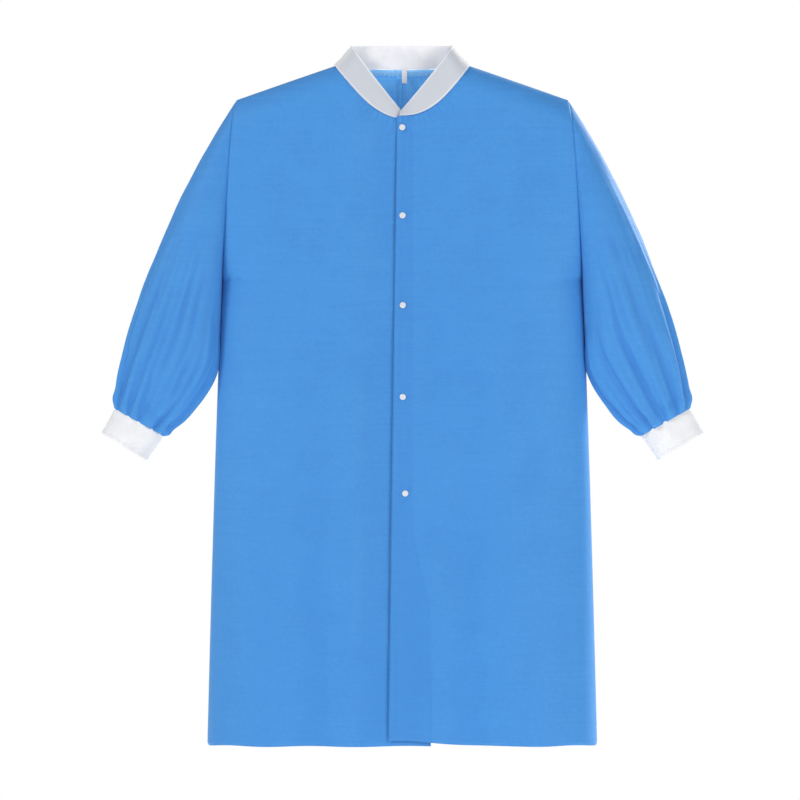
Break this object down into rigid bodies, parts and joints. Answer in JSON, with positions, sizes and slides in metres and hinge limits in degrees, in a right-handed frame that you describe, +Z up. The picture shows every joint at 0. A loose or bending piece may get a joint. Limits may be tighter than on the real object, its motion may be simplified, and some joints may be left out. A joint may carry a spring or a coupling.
{
  "type": "laboratory coat",
  "caption": "Knee-length blue nonwoven laboratory coat with white knitted stand collar and cuffs, closed at the front by round snaps.",
  "frame": {"origin": "centre of the neck opening, level with the two side neck points, where a hanger or a wearer's neck holds the coat", "axes": "+Z up along the hanging coat, +Y towards its back, +X towards the wearer's left"},
  "size_m": [0.933, 0.1743, 1.0831],
  "materials": {
    "nonwoven": "matte nonwoven",
    "rib_knit": "matte rib knit",
    "snap_plastic": "satin",
    "label_tape": "satin weave"
  },
  "bodies": {
    "coat_body": {"left_front_side": "nonwoven", "right_front_side": "nonwoven", "left_back": "nonwoven", "right_back": "nonwoven", "collar_back": "rib_knit", "neck_tape": "nonwoven", "center_back_seam": "nonwoven"},
    "left_flap": {"left_front": "nonwoven", "left_facing": "nonwoven", "collar_left": "rib_knit", "snap_cap_1": "snap_plastic", "snap_socket_1": "snap_plastic", "snap_cap_2": "snap_plastic", "snap_socket_2": "snap_plastic", "snap_cap_3": "snap_plastic", "snap_socket_3": "snap_plastic", "snap_cap_4": "snap_plastic", "snap_socket_4": "snap_plastic", "snap_cap_5": "snap_plastic", "snap_socket_5": "snap_plastic"},
    "right_flap": {"right_front": "nonwoven", "right_facing": "nonwoven", "collar_right": "rib_knit", "snap_stud_1": "snap_plastic", "snap_back_1": "snap_plastic", "snap_stud_2": "snap_plastic", "snap_back_2": "snap_plastic", "snap_stud_3": "snap_plastic", "snap_back_3": "snap_plastic", "snap_stud_4": "snap_plastic", "snap_back_4": "snap_plastic", "snap_stud_5": "snap_plastic", "snap_back_5": "snap_plastic"},
    "left_arm": {"left_sleeve": "nonwoven", "left_cuff": "rib_knit"},
    "right_arm": {"right_sleeve": "nonwoven", "right_cuff": "rib_knit"},
    "label": {"size_label": "label_tape"}
  },
  "joints": [
    {"name": "left_flap_open", "type": "hinge", "parent": "coat_body", "child": "left_flap", "pos_m": [0.102, -0.03, 0], "axis": [-0.0644, 0.0502, 0.9967], "range_deg": [0, 110]},
    {"name": "right_flap_open", "type": "hinge", "parent": "coat_body", "child": "right_flap", "pos_m": [-0.102, -0.03, 0], "axis": [-0.0644, -0.0502, -0.9967], "range_deg": [0, 55]},
    {"name": "left_sleeve_raise", "type": "hinge", "parent": "coat_body", "child": "left_arm", "pos_m": [0.25, 0, -0.045], "axis": [0, -1, 0], "range_deg": [0, 40]},
    {"name": "right_sleeve_raise", "type": "hinge", "parent": "coat_body", "child": "right_arm", "pos_m": [-0.25, 0, -0.045], "axis": [0, 1, 0], "range_deg": [0, 40]},
    {"name": "label_swing", "type": "hinge", "parent": "coat_body", "child": "label", "pos_m": [0.0035, 0.0329, -0.0035], "axis": [-1, 0, 0], "range_deg": [0, 100]}
  ],
  "couplings": [
    {"joint": "right_flap_open", "follows": "left_flap_open", "ratio": 0.5}
  ]
}
